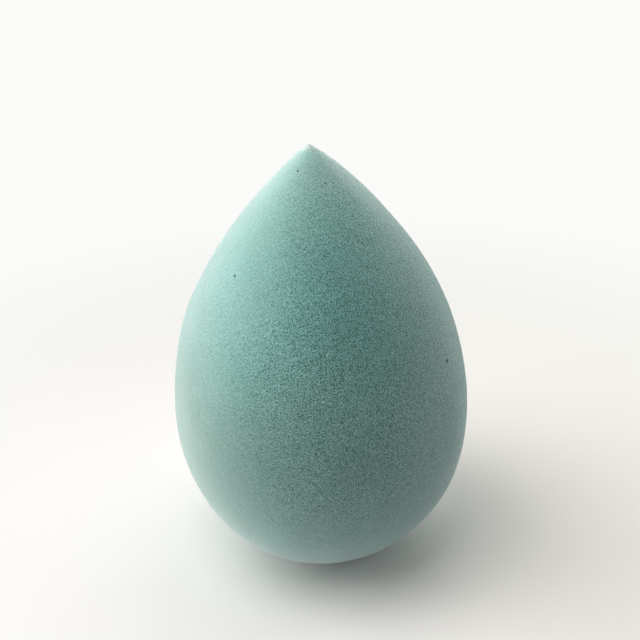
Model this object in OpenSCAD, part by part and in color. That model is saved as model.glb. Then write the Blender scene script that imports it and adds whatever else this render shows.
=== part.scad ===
// Teardrop makeup sponge: one piece of soft, fine-celled foam.
// It is a turned shape about the upright axis, with a round end below and a point above.
// The round end is pressed flat where the sponge stands.
// Sizes are in millimetres. The origin is the centre of the resting face, and +Z runs up to the point.

/* [Body] */
// Diameter at the widest place
belly_d = 40; // [24:0.5:56]
// Height of the widest place above the resting face
belly_h = 22; // [14:0.5:30]
// Height of the point above the resting face
height = 60; // [45:0.5:90]
// Fullness of the side above the widest place: the exponent of its curve
side_fullness = 2.15; // [1.6:0.05:3]

/* [Point] */
// Radius that blunts the point
point_r = 0.4; // [0.2:0.05:2]

/* [Resting face] */
// Depth of the round end that is pressed flat
rest_depth = 0.5; // [0.3:0.05:2]

/* [Hidden] */

foam_colour = [0.61, 0.78, 0.75];

// Steps of the outline's three curves, and of one turn about the axis
foot_steps = 22;
side_steps = 34;
point_steps = 5;
turn_steps = 96;

belly_r = belly_d / 2;

// The foot is a quarter ellipse that would end rest_depth below the resting face,
// so it meets that face at rest_angle, counted from the widest place
foot_drop = belly_h + rest_depth;
rest_angle = asin(belly_h / foot_drop);
rest_r = belly_r * cos(rest_angle);

// The side closes in to a cone of half angle point_angle, whose sharp tip would be at tip_h
point_angle = atan(side_fullness * belly_r / (height - belly_h));
tip_h = height + point_r * (1 / sin(point_angle) - 1);
side_share = pow(1 - point_r * cos(point_angle) / belly_r, 1 / side_fullness);

// Angle on the foot's ellipse at step i, from the resting face up to the widest place
function foot_angle(i) = rest_angle * (1 - i / foot_steps);

// Share of the side's height at step i, from the widest place up to the blunted point
function rise_share(i) = side_share * i / side_steps;

// Angle on the blunted point's arc at step i, from the side up to the axis
function arc_angle(i) = point_angle + (90 - point_angle) * i / point_steps;

foot = [
    for (i = [1 : foot_steps])
        [belly_r * cos(foot_angle(i)), belly_h - foot_drop * sin(foot_angle(i))]
];

side = [
    for (i = [1 : side_steps - 1])
        [belly_r * (1 - pow(rise_share(i), side_fullness)), belly_h + (tip_h - belly_h) * rise_share(i)]
];

point = [
    for (i = [0 : point_steps - 1])
        [point_r * cos(arc_angle(i)), height - point_r * (1 - sin(arc_angle(i)))]
];

// The whole body, turned from half of its outline
module foam_sponge() {
    color(foam_colour)
        rotate_extrude($fn = turn_steps)
            polygon(concat([[0, 0], [rest_r, 0]], foot, side, point, [[0, height]]));
}

foam_sponge();
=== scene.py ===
import math

import bmesh
import bpy
import numpy as np
from mathutils import Matrix, Vector, noise
from mathutils.bvhtree import BVHTree


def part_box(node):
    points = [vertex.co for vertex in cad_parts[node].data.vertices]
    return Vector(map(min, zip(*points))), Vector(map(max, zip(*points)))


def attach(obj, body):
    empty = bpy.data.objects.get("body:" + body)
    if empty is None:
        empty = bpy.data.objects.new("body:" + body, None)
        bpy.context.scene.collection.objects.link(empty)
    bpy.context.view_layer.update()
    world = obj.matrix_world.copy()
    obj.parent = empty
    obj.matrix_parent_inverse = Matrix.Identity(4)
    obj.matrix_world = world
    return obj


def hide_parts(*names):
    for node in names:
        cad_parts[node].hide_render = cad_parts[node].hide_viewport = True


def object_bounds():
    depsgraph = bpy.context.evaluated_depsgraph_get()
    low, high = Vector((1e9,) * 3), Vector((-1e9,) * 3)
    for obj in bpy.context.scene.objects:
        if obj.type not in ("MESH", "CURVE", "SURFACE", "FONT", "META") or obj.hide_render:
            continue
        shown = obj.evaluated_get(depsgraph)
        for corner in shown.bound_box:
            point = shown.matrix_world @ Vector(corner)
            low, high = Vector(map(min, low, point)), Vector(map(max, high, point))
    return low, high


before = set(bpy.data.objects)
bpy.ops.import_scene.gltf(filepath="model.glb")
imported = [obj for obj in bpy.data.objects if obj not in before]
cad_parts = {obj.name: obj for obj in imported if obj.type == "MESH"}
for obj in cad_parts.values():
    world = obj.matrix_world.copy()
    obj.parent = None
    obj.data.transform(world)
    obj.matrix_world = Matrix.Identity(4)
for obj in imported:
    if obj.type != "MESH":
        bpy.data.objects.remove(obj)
cadBox = [list(corner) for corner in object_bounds()]
mm = 0.001      # in metres
print("Frame loaded: the sponge is", [round((b - a) / mm, 1) for a, b in zip(*cadBox)], "mm")

scene = bpy.context.scene
scene.view_settings.view_transform = "Standard"


# Camera

camera = {
    "elevation": 27.0,             # degrees above the table
    "distance": 150.0,             # mm from the point it aims at
    "aim": (0.33, 0.0, 35.21),     # mm
    "roll": 2.57,                  # degrees, held a little askew
    "focal": 1125.5,               # in pixels of the picture
    "picture": 640,                # pixels along one side
    "sensor": 36.0,                # mm
    "clipStart": 10.0,             # mm
}


def cameraAxes():
    # Right, up and forward, for a camera that looks along +Y and down
    tilt, roll = math.radians(camera["elevation"]), math.radians(camera["roll"])
    forward = Vector((0, math.cos(tilt), -math.sin(tilt)))
    level, top = Vector((1, 0, 0)), Vector((0, math.sin(tilt), math.cos(tilt)))
    right = level * math.cos(roll) - top * math.sin(roll)
    up = level * math.sin(roll) + top * math.cos(roll)
    return right, up, forward


def cameraPlace():
    return (Vector(camera["aim"]) - cameraAxes()[2] * camera["distance"]) * mm


def pixelRay(x, y):
    # Direction from the camera through a pixel of the picture
    right, up, forward = cameraAxes()
    middle = camera["picture"] / 2
    return (forward * camera["focal"] + right * (x - middle) + up * (middle - y)).normalized()


def makeCamera():
    data = bpy.data.cameras.new("camera")
    data.sensor_width = camera["sensor"]
    data.lens = camera["focal"] / camera["picture"] * camera["sensor"]
    data.clip_start = camera["clipStart"] * mm
    right, up, forward = cameraAxes()
    turn = Matrix((right, up, -forward)).transposed().to_4x4()
    cam = bpy.data.objects.new("camera", data)
    cam.matrix_world = Matrix.Translation(cameraPlace()) @ turn
    scene.collection.objects.link(cam)
    scene.camera = cam


makeCamera()
print("Camera placed")


# Foam body. Lengths are in mm, as measured on the sponge.

sponge = {
    "bellyHeight": 22.0,       # of the widest place, above the table
    "restDepth": 0.5,          # how deep the round end is pressed flat
    "sideFullness": 2.15,      # exponent of the side's curve
    "pointRadius": 0.4,
    "meshStep": 0.275,         # between the mesh's points
    "pointStep": 0.07,         # the same at the very point
    "pointReach": 4.0,         # length below the point over which the step grows
    "lastStep": 1.5,           # in steps, the gap that is left below the point at most
    "fewestPoints": 7,         # in a ring
    "restFade": 1.5,           # height over which the relief dies out towards the table
    "waveSize": 9.0, "waveHeight": 0.10,       # slow unevenness of the cut foam
    "dimpleSize": 2.6, "dimpleHeight": 0.022,
    "cellSize": 0.85, "cellDepth": 0.035,      # the larger open cells
    "cellFloor": 0.1, "cellRim": 0.55,         # where a cell's flat middle and its slope end, in cells
}

# Points along each part of the outline, before it is spaced out for the mesh
outlineCounts = {"rest": 60, "foot": 500, "side": 800, "point": 40}

bulges = [
    # Where the soft body leaves the turned shape: degrees round from +X, and height, reach and lift in mm
    {"side": 168, "height": 35.0, "reach": 6.0, "lift": 0.20},      # left shoulder
    {"side": 170, "height": 53.0, "reach": 6.0, "lift": -0.16},     # left of the point
    {"side": 195, "height": 12.0, "reach": 5.0, "lift": -0.13},     # low on the left
    {"side": -17, "height": 11.0, "reach": 6.0, "lift": 0.24},      # low on the right
]

nudges = [
    # How the very point is pushed out of true, fading over the reach, in mm
    {"push": (0.0, 0.0, -0.31), "reach": 2.0},
    {"push": (-0.16, 0.0, 0.16), "reach": 0.42},       # the little nub on it
]

marks = [
    # Pinholes and, with a depth below 0, pale lumps, seen at these pixels of the picture; the rest in mm
    {"across": 447, "down": 361, "width": 0.55, "depth": 0.48},
    {"across": 298, "down": 171, "width": 0.28, "depth": 0.30},
    {"across": 235, "down": 276, "width": 0.38, "depth": 0.36},
    {"across": 325, "down": 183, "width": 0.26, "depth": 0.30},
    {"across": 310, "down": 167, "width": 0.20, "depth": 0.08},
    {"across": 323, "down": 402, "width": 0.26, "depth": -0.05},
    {"across": 327, "down": 355, "width": 0.24, "depth": -0.05},
    {"across": 392, "down": 353, "width": 0.24, "depth": -0.05},
    {"across": 312, "down": 458, "width": 0.24, "depth": -0.05},
]

markShape = {
    "core": 0.35, "edge": 1.15,    # where a mark's full depth and its slope end, in half widths
    "meshReach": 1.4,              # of the finer mesh, in widths
    "meshRounds": 2,               # how often that mesh is halved
}


def smooth(low, high, x):
    t = np.clip((x - low) / (high - low), 0, 1)
    return t * t * (3 - 2 * t)


def halfOutline():
    # Radius and height from the middle of the resting face up to the point, close together
    low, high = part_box("foam_sponge")
    height, belly = (high.z - low.z) / mm, sponge["bellyHeight"]
    radius = (high.x - low.x) / 2 / mm
    drop = belly + sponge["restDepth"]
    restAngle = math.asin(belly / drop)
    fullness, blunt = sponge["sideFullness"], sponge["pointRadius"]

    # The side would run on to a sharp tip, and is rounded off where its slope meets the blunt point
    pointAngle = math.atan(fullness * radius / (height - belly))
    tip = height + blunt * (1 / math.sin(pointAngle) - 1)
    sideShare = (1 - blunt * math.cos(pointAngle) / radius) ** (1 / fullness)

    rest = [(r, 0.0) for r in np.linspace(0, radius * math.cos(restAngle), outlineCounts["rest"])]
    foot = [(radius * math.cos(a), belly - drop * math.sin(a))
            for a in np.linspace(restAngle, 0, outlineCounts["foot"])]
    side = [(radius * (1 - u ** fullness), belly + (tip - belly) * u)
            for u in np.linspace(0, sideShare, outlineCounts["side"])]
    point = [(blunt * math.cos(a), height - blunt + blunt * math.sin(a))
             for a in np.linspace(pointAngle, math.pi / 2, outlineCounts["point"])]
    return np.array(rest + foot[1:] + side[1:] + point[1:])


def spacedOutline():
    # The outline at the mesh's own steps, which are finer towards the point
    line = halfOutline()
    along = np.concatenate([[0], np.cumsum(np.linalg.norm(np.diff(line, axis=0), axis=1))])
    places, steps = [0.0], []
    while True:
        left = along[-1] - places[-1]
        grown = smooth(0, sponge["pointReach"], left)
        step = sponge["pointStep"] + (sponge["meshStep"] - sponge["pointStep"]) * grown
        steps.append(step)
        if left <= sponge["lastStep"] * step:
            break
        # The rings stand as far apart as the rows of even-sided triangles
        places.append(places[-1] + step * math.sqrt(3) / 2)
    places.append(along[-1])
    steps.append(sponge["pointStep"])
    return np.interp(places, along, line[:, 0]), np.interp(places, along, line[:, 1]), steps


def stitch(first, second):
    # Triangles between two rings, each given as its first point, its count and its turn share
    (a, aCount, aTurn), (b, bCount, bTurn) = first, second
    faces, i, j = [], 0, 0
    while i < aCount or j < bCount:
        if j == bCount or (i < aCount and (i + 1 + aTurn) / aCount <= (j + 1 + bTurn) / bCount):
            faces.append((a + i % aCount, a + (i + 1) % aCount, b + j % bCount))
            i += 1
        else:
            faces.append((a + i % aCount, b + (j + 1) % bCount, b + j % bCount))
            j += 1
    return faces


def smoothBody():
    # The turned shape as rings of points, each ring half a step on from the one below
    radii, heights, steps = spacedOutline()
    points, faces, rings = [(0, 0, 0)], [], []
    for i in range(1, len(radii) - 1):
        count = max(sponge["fewestPoints"], round(2 * math.pi * radii[i] / steps[i]))
        turn = 0.5 * (i % 2)
        rings.append((len(points), count, turn))
        for k in range(count):
            angle = 2 * math.pi * (k + turn) / count
            points.append((radii[i] * math.cos(angle), radii[i] * math.sin(angle), heights[i]))
    start, count, _ = rings[0]
    faces += [(0, start + (k + 1) % count, start + k) for k in range(count)]
    for lower, upper in zip(rings, rings[1:]):
        faces += stitch(lower, upper)
    start, count, _ = rings[-1]
    faces += [(start + k, start + (k + 1) % count, len(points)) for k in range(count)]
    points.append((0, 0, heights[-1]))
    return points, faces


def noiseAt(points, size):
    return np.array([noise.noise(Vector(p)) for p in points / size])


cellMix = np.array([12.99, 78.23, 37.72])      # any uneven numbers do, to tell the cells apart
cellSpread = 437.5


def cellsAt(points, size):
    # Distance to the nearest cell's middle, in cells, and a chance share for each cell
    found = [noise.voronoi(Vector(p)) for p in points / size]
    near = np.array([f[0][0] for f in found])
    middles = np.array([f[1][0] for f in found])
    share = np.abs(np.sin(middles @ cellMix) * cellSpread) % 1
    return near, share


def bulgeLift(co):
    # Soft swells and hollows, each strongest at one place and fading with the distance from it
    turn = np.arctan2(co[:, 1], co[:, 0])
    radius = np.hypot(co[:, 0], co[:, 1])
    lift = np.zeros(len(co))
    for bulge in bulges:
        # The turn between them, at most half a turn either way, as a length on the surface
        apart = np.angle(np.exp(1j * (turn - math.radians(bulge["side"])))) * radius
        off = np.hypot(apart, co[:, 2] - bulge["height"]) / bulge["reach"]
        lift += bulge["lift"] * np.exp(-off ** 2)
    return lift


def foamRelief(co):
    # The unevenness and the larger open cells, which die out towards the table
    relief = bulgeLift(co)
    relief += sponge["waveHeight"] * noiseAt(co, sponge["waveSize"])
    relief += sponge["dimpleHeight"] * noiseAt(co, sponge["dimpleSize"])
    near, share = cellsAt(co, sponge["cellSize"])
    relief -= sponge["cellDepth"] * share * (1 - smooth(sponge["cellFloor"], sponge["cellRim"], near))
    return relief * smooth(0, sponge["restFade"], co[:, 2])


def findMarks(bm):
    # Where the marks lie on the body, with a finer mesh made round each
    tree = BVHTree.FromBMesh(bm)
    eye = cameraPlace() / mm
    places = []
    for mark in marks:
        place = tree.ray_cast(eye, pixelRay(mark["across"], mark["down"]))[0]
        places.append(place)
        reach = markShape["meshReach"] * mark["width"]
        for _ in range(markShape["meshRounds"]):
            near = [e for e in bm.edges if (e.verts[0].co - place).length < reach]
            bmesh.ops.subdivide_edges(bm, edges=near, cuts=1, use_grid_fill=False)
            bmesh.ops.triangulate(bm, faces=[f for f in bm.faces if len(f.verts) > 3])
    return places


def makeSponge():
    points, faces = smoothBody()
    mesh = bpy.data.meshes.new("foamBody")
    mesh.from_pydata(points, [], faces)
    bm = bmesh.new()
    bm.from_mesh(mesh)
    places = findMarks(bm)
    bm.normal_update()
    co = np.array([v.co for v in bm.verts])
    normals = np.array([v.normal for v in bm.verts])

    relief = foamRelief(co)
    inHole, onLump = np.zeros(len(co)), np.zeros(len(co))
    for mark, place in zip(marks, places):
        off = np.linalg.norm(co - np.array(place), axis=1)
        core, edge = markShape["core"] * mark["width"] / 2, markShape["edge"] * mark["width"] / 2
        share = 1 - smooth(core, edge, off)
        relief -= mark["depth"] * share
        which = inHole if mark["depth"] > 0 else onLump
        np.maximum(which, share, out=which)
    co += normals * relief[:, None]
    fromPoint = np.linalg.norm(co - co[np.argmax(co[:, 2])], axis=1)
    for nudge in nudges:
        co += np.exp(-(fromPoint / nudge["reach"]) ** 2)[:, None] * np.array(nudge["push"])
    co *= mm
    for vert, place in zip(bm.verts, co):
        vert.co = place
    bm.to_mesh(mesh)
    bm.free()
    mesh.shade_smooth()
    for name, values in (("pinhole", inHole), ("lump", onLump)):
        mesh.attributes.new(name, "FLOAT", "POINT").data.foreach_set("value", values)
    body = bpy.data.objects.new("foam_body", mesh)
    scene.collection.objects.link(body)
    print("Foam body made:", len(mesh.polygons), "triangles")
    return body


# Helpers for the materials' nodes

def add(tree, kind, **settings):
    node = tree.nodes.new("ShaderNode" + kind)
    for name, value in settings.items():
        setattr(node, name, value)
    return node


def join(tree, output, target):
    tree.links.new(output, target)


def calculate(tree, operation, first, second=None):
    node = add(tree, "Math", operation=operation)
    for target, value in zip(node.inputs, (first, second)):
        if isinstance(value, (int, float)):
            target.default_value = value
        elif value is not None:
            join(tree, value, target)
    return node.outputs[0]


def ramp(tree, value, low, high, outLow=0.0, outHigh=1.0):
    node = add(tree, "MapRange", interpolation_type="SMOOTHSTEP")
    join(tree, value, node.inputs["Value"])
    for name, number in (("From Min", low), ("From Max", high), ("To Min", outLow), ("To Max", outHigh)):
        node.inputs[name].default_value = number
    return node.outputs["Result"]


def mixColour(tree, mask, first, second, blend="MIX"):
    # Colours are numbers or outputs; sockets 6, 7 and 2 are the Mix node's own for colours
    node = add(tree, "Mix", data_type="RGBA", blend_type=blend)
    join(tree, mask, node.inputs[0])
    for target, value in ((node.inputs[6], first), (node.inputs[7], second)):
        if isinstance(value, tuple):
            target.default_value = value
        else:
            join(tree, value, target)
    return node.outputs[2]


def nearness(tree, place, middle, start, end, share):
    # The share near the middle, dying out between two distances from it; lengths in mm
    away = add(tree, "VectorMath", operation="DISTANCE")
    join(tree, place, away.inputs[0])
    away.inputs[1].default_value = Vector(middle) * mm
    return ramp(tree, away.outputs["Value"], start * mm, end * mm, share, 0.0)


# Foam material. Lengths are in mm.

tints = [
    # Slow changes of colour round a place, most of them painted light and shade, which die out between
    # two distances from it. MIX brings in a colour by the share, and MULTIPLY keeps the grain as strong
    # as it is.
    {"at": (-20, -6, 23), "start": 5, "end": 22, "blend": "MIX", "share": 0.38,
     "colour": (0.13, 0.24, 0.17, 1)},      # painted shade: duller and darker on the lower left side
    {"at": (-11, -4, 49), "start": 6, "end": 22, "blend": "MIX", "share": 0.10,
     "colour": (0.50, 0.49, 0.47, 1)},      # painted light: paler and greyer on the upper left, where the left lamps fall
    {"at": (8, -11, 44), "start": 5, "end": 16, "blend": "MULTIPLY", "share": 1.0,
     "colour": (0.65, 0.84, 0.85, 1)},      # painted shade: bluer and darker high on the right front
    {"at": (-9, -12, 43), "start": 4, "end": 15, "blend": "MULTIPLY", "share": 1.0,
     "colour": (1.0, 1.07, 1.09, 1)},       # painted light: lighter and bluer-green high on the front left
    {"at": (-3, -19, 22), "start": 4, "end": 16, "blend": "MULTIPLY", "share": 1.0,
     "colour": (0.92, 0.92, 0.93, 1)},      # painted shade: darker in the middle of the front
    {"at": (9, -15, 14), "start": 6, "end": 20, "blend": "MULTIPLY", "share": 1.0,
     "colour": (1.01, 0.95, 0.96, 1)},      # greyer, low on the right
    {"at": (-9, -14, 12), "start": 3, "end": 11, "blend": "MULTIPLY", "share": 1.0,
     "colour": (1.05, 1.11, 1.07, 1)},      # painted light: paler and greener low on the left
]

foam = {
    # The pits' dark is partly the cells' own colour and partly painted shade in them
    "pitColour": (0.0, 0.15, 0.09, 1),
    "wallColour": (0.33, 0.62, 0.57, 1),
    "cellSize": 0.21,
    "wallMean": 0.16,           # mean distance from a cell's walls, in cells
    "gritSize": 0.115,
    "gritWeight": 5.0,          # this weight and the next two are compared with the cells
    "speckSpacing": 0.6,        # of the pores and lumps that stand out
    "speckCore": 0.08, "speckEdge": 0.30,      # their reach, as shares of the spacing
    "speckWeight": 2.0,
    "patchSize": 6.0,           # of slow changes in tone
    "patchWeight": 0.2,
    "reach": 0.49,              # how far these together go either way
    "footFrom": 6.0, "footTo": 36.0, "footLeast": 0.15,    # the cells are fainter low down,
    "topFrom": 36.0, "topTo": 58.0, "topLeast": 0.45,      # high up,
    "pointFrom": 56.5, "pointTo": 59.0, "pointLeast": 0.45,    # at the point
    "sideFrom": -18.4, "sideTo": -5.4, "sideLeast": 0.30,  # and on the left
    "sideLean": 0.2,            # how far that last edge leans right with the height
    "holeColour": (0.0, 0.03, 0.03, 1),        # painted shade deep in the pinholes
    "lumpColour": (0.75, 0.85, 0.82, 1),
    "markShare": 0.9,
    "paleColour": (0.50, 0.49, 0.47, 1),       # the cut nub's own colour, and painted light towards the point and the foot
    # Painted light: paler towards the point and, from the table's bounce, at the foot
    "palePoint": 0.18, "palePointFrom": 53.0, "palePointTo": 60.0,
    "paleFoot": 0.10, "paleFootFrom": 0.5, "paleFootTo": 4.0,
    "nubShare": 0.7, "nubFrom": 0.3, "nubTo": 1.7,         # distances from the nub's middle
    "nubDrop": 0.2,             # of that middle below the solid's top
    "roughness": 0.95,
    "gloss": 0.2,
    "sheen": 0.8,
    "sheenRoughness": 0.6,
    "bumpDepth": 0.10,
    "bumpStrength": 0.6,
    "subsurface": 1.0,
    "subsurfaceDepth": 3.0,
    "subsurfaceReach": (0.7, 1.0, 0.95),       # red, green and blue
}


middleShade = 0.5       # the mean of Blender's own noise and chance colours


def makeGrainGroup():
    # The open cells of the foam: low in the cells, high on the walls between them, about 0 on average
    group = bpy.data.node_groups.new("foamGrain", "ShaderNodeTree")
    group.interface.new_socket("Place", in_out="INPUT", socket_type="NodeSocketVector")
    group.interface.new_socket("Relief", in_out="OUTPUT", socket_type="NodeSocketFloat")
    place = group.nodes.new("NodeGroupInput").outputs["Place"]
    cells = add(group, "TexVoronoi", feature="DISTANCE_TO_EDGE")
    join(group, place, cells.inputs["Vector"])
    cells.inputs["Scale"].default_value = 1 / (foam["cellSize"] * mm)
    walls = calculate(group, "SUBTRACT", foam["wallMean"], cells.outputs["Distance"])
    grit = add(group, "TexNoise")
    join(group, place, grit.inputs["Vector"])
    grit.inputs["Scale"].default_value = 1 / (foam["gritSize"] * mm)
    grit.inputs["Detail"].default_value = 0
    grit = calculate(group, "SUBTRACT", grit.outputs["Fac"], middleShade)
    grit = calculate(group, "MULTIPLY", grit, foam["gritWeight"])
    relief = calculate(group, "ADD", walls, grit)

    # Here and there a darker pore or a paler lump stands out
    specks = add(group, "TexVoronoi")
    join(group, place, specks.inputs["Vector"])
    specks.inputs["Scale"].default_value = 1 / (foam["speckSpacing"] * mm)
    dot = ramp(group, specks.outputs["Distance"], foam["speckCore"], foam["speckEdge"], 1.0, 0.0)
    shade = add(group, "SeparateColor")
    join(group, specks.outputs["Color"], shade.inputs[0])
    shade = calculate(group, "SUBTRACT", shade.outputs["Red"], middleShade)
    shade = calculate(group, "MULTIPLY", shade, foam["speckWeight"])
    relief = calculate(group, "ADD", relief, calculate(group, "MULTIPLY", dot, shade))

    # The cells are fainter low down, high up, at the point and on the left
    split = add(group, "SeparateXYZ")
    join(group, place, split.inputs[0])
    up = split.outputs["Z"]
    foot = ramp(group, up, foam["footFrom"] * mm, foam["footTo"] * mm, foam["footLeast"], 1.0)
    top = ramp(group, up, foam["topFrom"] * mm, foam["topTo"] * mm, 1.0, foam["topLeast"])
    point = ramp(group, up, foam["pointFrom"] * mm, foam["pointTo"] * mm, 1.0, foam["pointLeast"])
    lean = calculate(group, "MULTIPLY", up, foam["sideLean"])
    aside = calculate(group, "SUBTRACT", split.outputs["X"], lean)
    side = ramp(group, aside, foam["sideFrom"] * mm, foam["sideTo"] * mm, foam["sideLeast"], 1.0)
    for fade in (foot, top, point, side):
        relief = calculate(group, "MULTIPLY", relief, fade)
    join(group, relief, group.nodes.new("NodeGroupOutput").inputs["Relief"])
    return group


def makeFoam():
    material = bpy.data.materials.new("mintFoam")
    material.use_nodes = True
    tree = material.node_tree
    shader = tree.nodes["Principled BSDF"]
    place = add(tree, "TexCoord").outputs["Object"]
    grain = add(tree, "Group", node_tree=makeGrainGroup())
    join(tree, place, grain.inputs["Place"])
    relief = grain.outputs["Relief"]

    # Pits dark, walls light, and slow patches over both; the pits' dark is partly painted shade in the
    # open cells
    patches = add(tree, "TexNoise")
    join(tree, place, patches.inputs["Vector"])
    patches.inputs["Scale"].default_value = 1 / (foam["patchSize"] * mm)
    patch = calculate(tree, "SUBTRACT", patches.outputs["Fac"], middleShade)
    tone = calculate(tree, "ADD", relief, calculate(tree, "MULTIPLY", patch, foam["patchWeight"]))
    lift = add(tree, "MapRange")
    join(tree, tone, lift.inputs["Value"])
    lift.inputs["From Min"].default_value = -foam["reach"]
    lift.inputs["From Max"].default_value = foam["reach"]
    colour = mixColour(tree, lift.outputs["Result"], foam["pitColour"], foam["wallColour"])
    for tint in tints:
        mask = nearness(tree, place, tint["at"], tint["start"], tint["end"], tint["share"])
        colour = mixColour(tree, mask, colour, tint["colour"], tint["blend"])

    # Painted light: paler towards the point, where the lamps fall, and at the foot, from the table's
    # bounce; palest on the cut nub, which is its own colour
    split = add(tree, "SeparateXYZ")
    join(tree, place, split.inputs[0])
    up = split.outputs["Z"]
    point = ramp(tree, up, foam["palePointFrom"] * mm, foam["palePointTo"] * mm, 0.0, foam["palePoint"])
    foot = ramp(tree, up, foam["paleFootFrom"] * mm, foam["paleFootTo"] * mm, foam["paleFoot"], 0.0)
    colour = mixColour(tree, calculate(tree, "ADD", point, foot), colour, foam["paleColour"])
    tip = (nudges[1]["push"][0], 0, cadBox[1][2] / mm - foam["nubDrop"])
    nub = nearness(tree, place, tip, foam["nubFrom"], foam["nubTo"], foam["nubShare"])
    colour = mixColour(tree, nub, colour, foam["paleColour"])
    # Painted shade in the pinholes, and the lumps' paler colour
    for name, markColour in (("pinhole", foam["holeColour"]), ("lump", foam["lumpColour"])):
        found = add(tree, "Attribute", attribute_name=name).outputs["Fac"]
        mask = calculate(tree, "MULTIPLY", found, foam["markShare"])
        colour = mixColour(tree, mask, colour, markColour)
    join(tree, colour, shader.inputs["Base Color"])

    bump = add(tree, "Bump")
    bump.inputs["Strength"].default_value = foam["bumpStrength"]
    bump.inputs["Distance"].default_value = foam["bumpDepth"] * mm
    join(tree, relief, bump.inputs["Height"])
    join(tree, bump.outputs["Normal"], shader.inputs["Normal"])

    shader.inputs["Roughness"].default_value = foam["roughness"]
    shader.inputs["Specular IOR Level"].default_value = foam["gloss"]
    shader.inputs["Sheen Weight"].default_value = foam["sheen"]
    shader.inputs["Sheen Roughness"].default_value = foam["sheenRoughness"]
    shader.inputs["Subsurface Weight"].default_value = foam["subsurface"]
    shader.inputs["Subsurface Scale"].default_value = foam["subsurfaceDepth"] * mm
    shader.inputs["Subsurface Radius"].default_value = foam["subsurfaceReach"]
    return material


body = makeSponge()
body.data.materials.append(makeFoam())
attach(body, "root")
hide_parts("foam_sponge")
print("Foam body dressed")


# Table, backdrop and light. Lengths are in mm and angles in degrees.

studio = {
    "tableSize": 6000.0,
    "tableSeen": (1.0, 0.965, 0.94, 1),        # as the camera sees it on the left
    # Painted warm light on the table's right, where the sponge's shadow lies
    "tableSeenRight": (1.0, 0.965, 0.905, 1),
    "warmFrom": -10.0, "warmTo": 40.0,         # across the table, from left to right
    "tableBounce": (0.63, 0.63, 0.64, 1),      # as it lights the sponge from below
    "tableRoughness": 0.8,
    "backdrop": (0.956, 0.965, 0.94, 1),       # the plain pale colour far from the sponge
    "backdropFrom": 25.0, "backdropTo": 130.0,     # distances from the sponge over which it takes over
    "worldStrength": 0.004,
}

# The azimuth is 0 on the camera's side and 90 on the right
suns = [
    {"name": "wallLeft", "azimuth": -90, "elevation": 5, "strength": 0.59, "spread": 45},
    {"name": "wallLeftFront", "azimuth": -60, "elevation": 10, "strength": 0.10, "spread": 15},
    {"name": "wallLeftBack", "azimuth": -120, "elevation": 5, "strength": 0.55, "spread": 45},
    {"name": "wallBack", "azimuth": -170, "elevation": 15, "strength": 0.05, "spread": 25},
    {"name": "wallRightFront", "azimuth": 45, "elevation": 5, "strength": 0.09, "spread": 30},
    {"name": "rimRight", "azimuth": 135, "elevation": 5, "strength": 0.12, "spread": 15},
    {"name": "rimRightBack", "azimuth": 150, "elevation": 2, "strength": 0.32, "spread": 10},
]

softboxes = [
    {"name": "topFront", "azimuth": -45, "elevation": 65, "distance": 320, "size": 256, "strength": 0.37},
    {"name": "topLeft", "azimuth": -90, "elevation": 65, "distance": 120, "size": 96, "strength": 0.33},
    {"name": "topRight", "azimuth": 135, "elevation": 65, "distance": 180, "size": 144, "strength": 0.28},
    {"name": "sideLeft", "azimuth": -90, "elevation": 35, "distance": 180, "size": 144, "strength": 0.17},
    {"name": "sideRight", "azimuth": 90, "elevation": 35, "distance": 180, "size": 144, "strength": 0.15},
]

lampAim = Vector((0, 0, 30))     # half-way up the sponge


def whiteRays(tree, rays):
    # 1 for the rays that should see a white studio, and 0 for those that light the sponge
    seen = calculate(tree, "ADD", rays.outputs["Is Camera Ray"], rays.outputs["Is Glossy Ray"])
    seen = calculate(tree, "ADD", seen, rays.outputs["Is Transmission Ray"])
    return calculate(tree, "MINIMUM", seen, 1.0)


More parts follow.
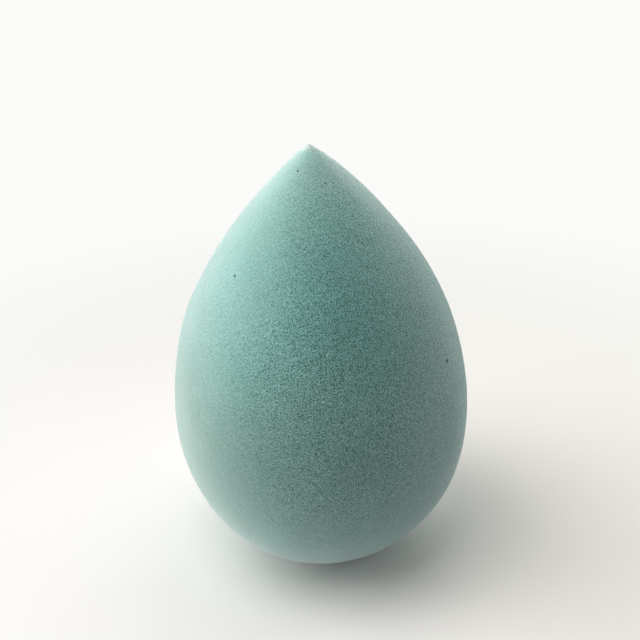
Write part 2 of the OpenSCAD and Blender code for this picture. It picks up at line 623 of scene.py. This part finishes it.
def makeTable():
    mesh = bpy.data.meshes.new("table")
    half = studio["tableSize"] / 2 * mm
    corners = [(-half, -half, 0), (half, -half, 0), (half, half, 0), (-half, half, 0)]
    mesh.from_pydata(corners, [], [(0, 1, 2, 3)])
    table = bpy.data.objects.new("table", mesh)
    scene.collection.objects.link(table)
    material = bpy.data.materials.new("whiteTable")
    material.use_nodes = True
    tree = material.node_tree
    shader = tree.nodes["Principled BSDF"]
    seen = whiteRays(tree, add(tree, "LightPath"))
    place = add(tree, "TexCoord").outputs["Object"]
    split = add(tree, "SeparateXYZ")
    join(tree, place, split.inputs[0])
    # Painted warm light towards the shadow side on the right
    warm = ramp(tree, split.outputs["X"], studio["warmFrom"] * mm, studio["warmTo"] * mm)
    white = mixColour(tree, warm, studio["tableSeen"], studio["tableSeenRight"])
    join(tree, mixColour(tree, seen, studio["tableBounce"], white), shader.inputs["Base Color"])
    shader.inputs["Roughness"].default_value = studio["tableRoughness"]
    shader.inputs["Specular IOR Level"].default_value = 0.0

    # Far from the sponge the table passes into the backdrop's plain colour
    away = add(tree, "VectorMath", operation="LENGTH")
    join(tree, place, away.inputs[0])
    far = ramp(tree, away.outputs["Value"], studio["backdropFrom"] * mm, studio["backdropTo"] * mm)
    glow = add(tree, "Emission")
    glow.inputs["Color"].default_value = studio["backdrop"]
    both = add(tree, "MixShader")
    join(tree, calculate(tree, "MULTIPLY", far, seen), both.inputs[0])
    join(tree, shader.outputs[0], both.inputs[1])
    join(tree, glow.outputs[0], both.inputs[2])
    join(tree, both.outputs[0], tree.nodes["Material Output"].inputs["Surface"])
    table.data.materials.append(material)


def makeWorld():
    # The camera sees the backdrop past the table; the sponge is lit at the world's own strength
    world = bpy.data.worlds.new("studio")
    world.use_nodes = True
    tree = world.node_tree
    back = tree.nodes["Background"]
    back.inputs["Color"].default_value = studio["backdrop"]
    seen = whiteRays(tree, add(tree, "LightPath"))
    lift = calculate(tree, "MULTIPLY", seen, 1 - studio["worldStrength"])
    join(tree, calculate(tree, "ADD", lift, studio["worldStrength"]), back.inputs["Strength"])
    scene.world = world


def placeLamp(name, data, azimuth, elevation, distance=0.0):
    # A lamp that shines at the sponge from the given direction
    a, e = math.radians(azimuth), math.radians(elevation)
    towards = Vector((math.sin(a) * math.cos(e), -math.cos(a) * math.cos(e), math.sin(e)))
    lamp = bpy.data.objects.new(name, data)
    lamp.rotation_mode = "QUATERNION"
    lamp.rotation_quaternion = towards.to_track_quat("Z", "Y")
    lamp.location = (lampAim + towards * distance) * mm
    lamp.visible_camera = False
    scene.collection.objects.link(lamp)


def makeLamps():
    for sun in suns:
        data = bpy.data.lights.new(sun["name"], "SUN")
        data.energy = sun["strength"] * math.pi     # a strength of 1 lights a white face to 1
        data.angle = math.radians(sun["spread"])
        placeLamp(sun["name"], data, sun["azimuth"], sun["elevation"])
    for box in softboxes:
        # The power that lights a face at the aim as a sun of the same strength does
        data = bpy.data.lights.new(box["name"], "AREA")
        data.shape = "DISK"
        data.size = box["size"] * mm
        data.energy = box["strength"] * (math.pi * box["distance"] * mm) ** 2
        placeLamp(box["name"], data, box["azimuth"], box["elevation"], box["distance"])


makeTable()
makeWorld()
makeLamps()
print("Table and light set")
